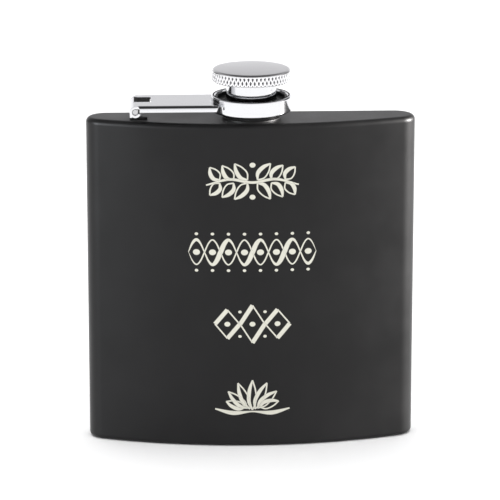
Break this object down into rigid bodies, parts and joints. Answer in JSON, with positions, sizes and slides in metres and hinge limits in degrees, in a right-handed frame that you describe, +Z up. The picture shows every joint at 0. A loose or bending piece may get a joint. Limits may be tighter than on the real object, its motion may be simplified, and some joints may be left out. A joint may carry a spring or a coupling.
{
  "type": "hip flask",
  "caption": "Flat pocket hip flask with a curved front, rounded ends and a knurled screw cap kept on a hinged arm with a ring round the cap's stem.",
  "frame": {"origin": "on the surface the flask stands on, under the axis of the neck, which is the middle of the body", "axes": "+Z up along the neck, -Y out of the curved front face, -X towards the hinge of the cap's arm"},
  "size_m": [0.093, 0.0224, 0.1085],
  "materials": {
    "black_lacquer": "matte",
    "polished_steel": "mirror",
    "satin_steel": "satin",
    "bare_steel": "satin",
    "seal_rubber": "matte",
    "black_plastic": "satin"
  },
  "bodies": {
    "flask": {"side_wall": "black_lacquer", "top_plate": "black_lacquer", "base_plate": "black_lacquer", "neck_collar": "black_lacquer", "neck_tube": "bare_steel", "hinge_bracket": "black_lacquer", "hinge_pin": "bare_steel"},
    "arm": {"arm_strap": "polished_steel", "captive_ring": "polished_steel", "ring_liner": "black_plastic"},
    "washer": {"slip_washer": "black_plastic"},
    "cap": {"cap_core": "polished_steel", "foot_ring": "black_lacquer", "cap_seal": "seal_rubber", "cap_shell": "satin_steel"}
  },
  "joints": [
    {"name": "arm_swing", "type": "hinge", "parent": "flask", "child": "arm", "pos_m": [-0.0326, 0, 0.0976], "axis": [0, -1, 0], "range_deg": [0, 180]},
    {"name": "cap_lift", "type": "slide", "parent": "arm", "child": "washer", "axis": [0, 0, 1], "range_m": [0, 0.0026]},
    {"name": "cap_turn", "type": "hinge", "parent": "washer", "child": "cap", "pos_m": [0, 0, 0.1], "axis": [0, 0, 1], "range_deg": [0, 620]}
  ],
  "couplings": [
    {"joint": "cap_lift", "follows": "cap_turn", "m_per_rad": 0.00023873}
  ]
}
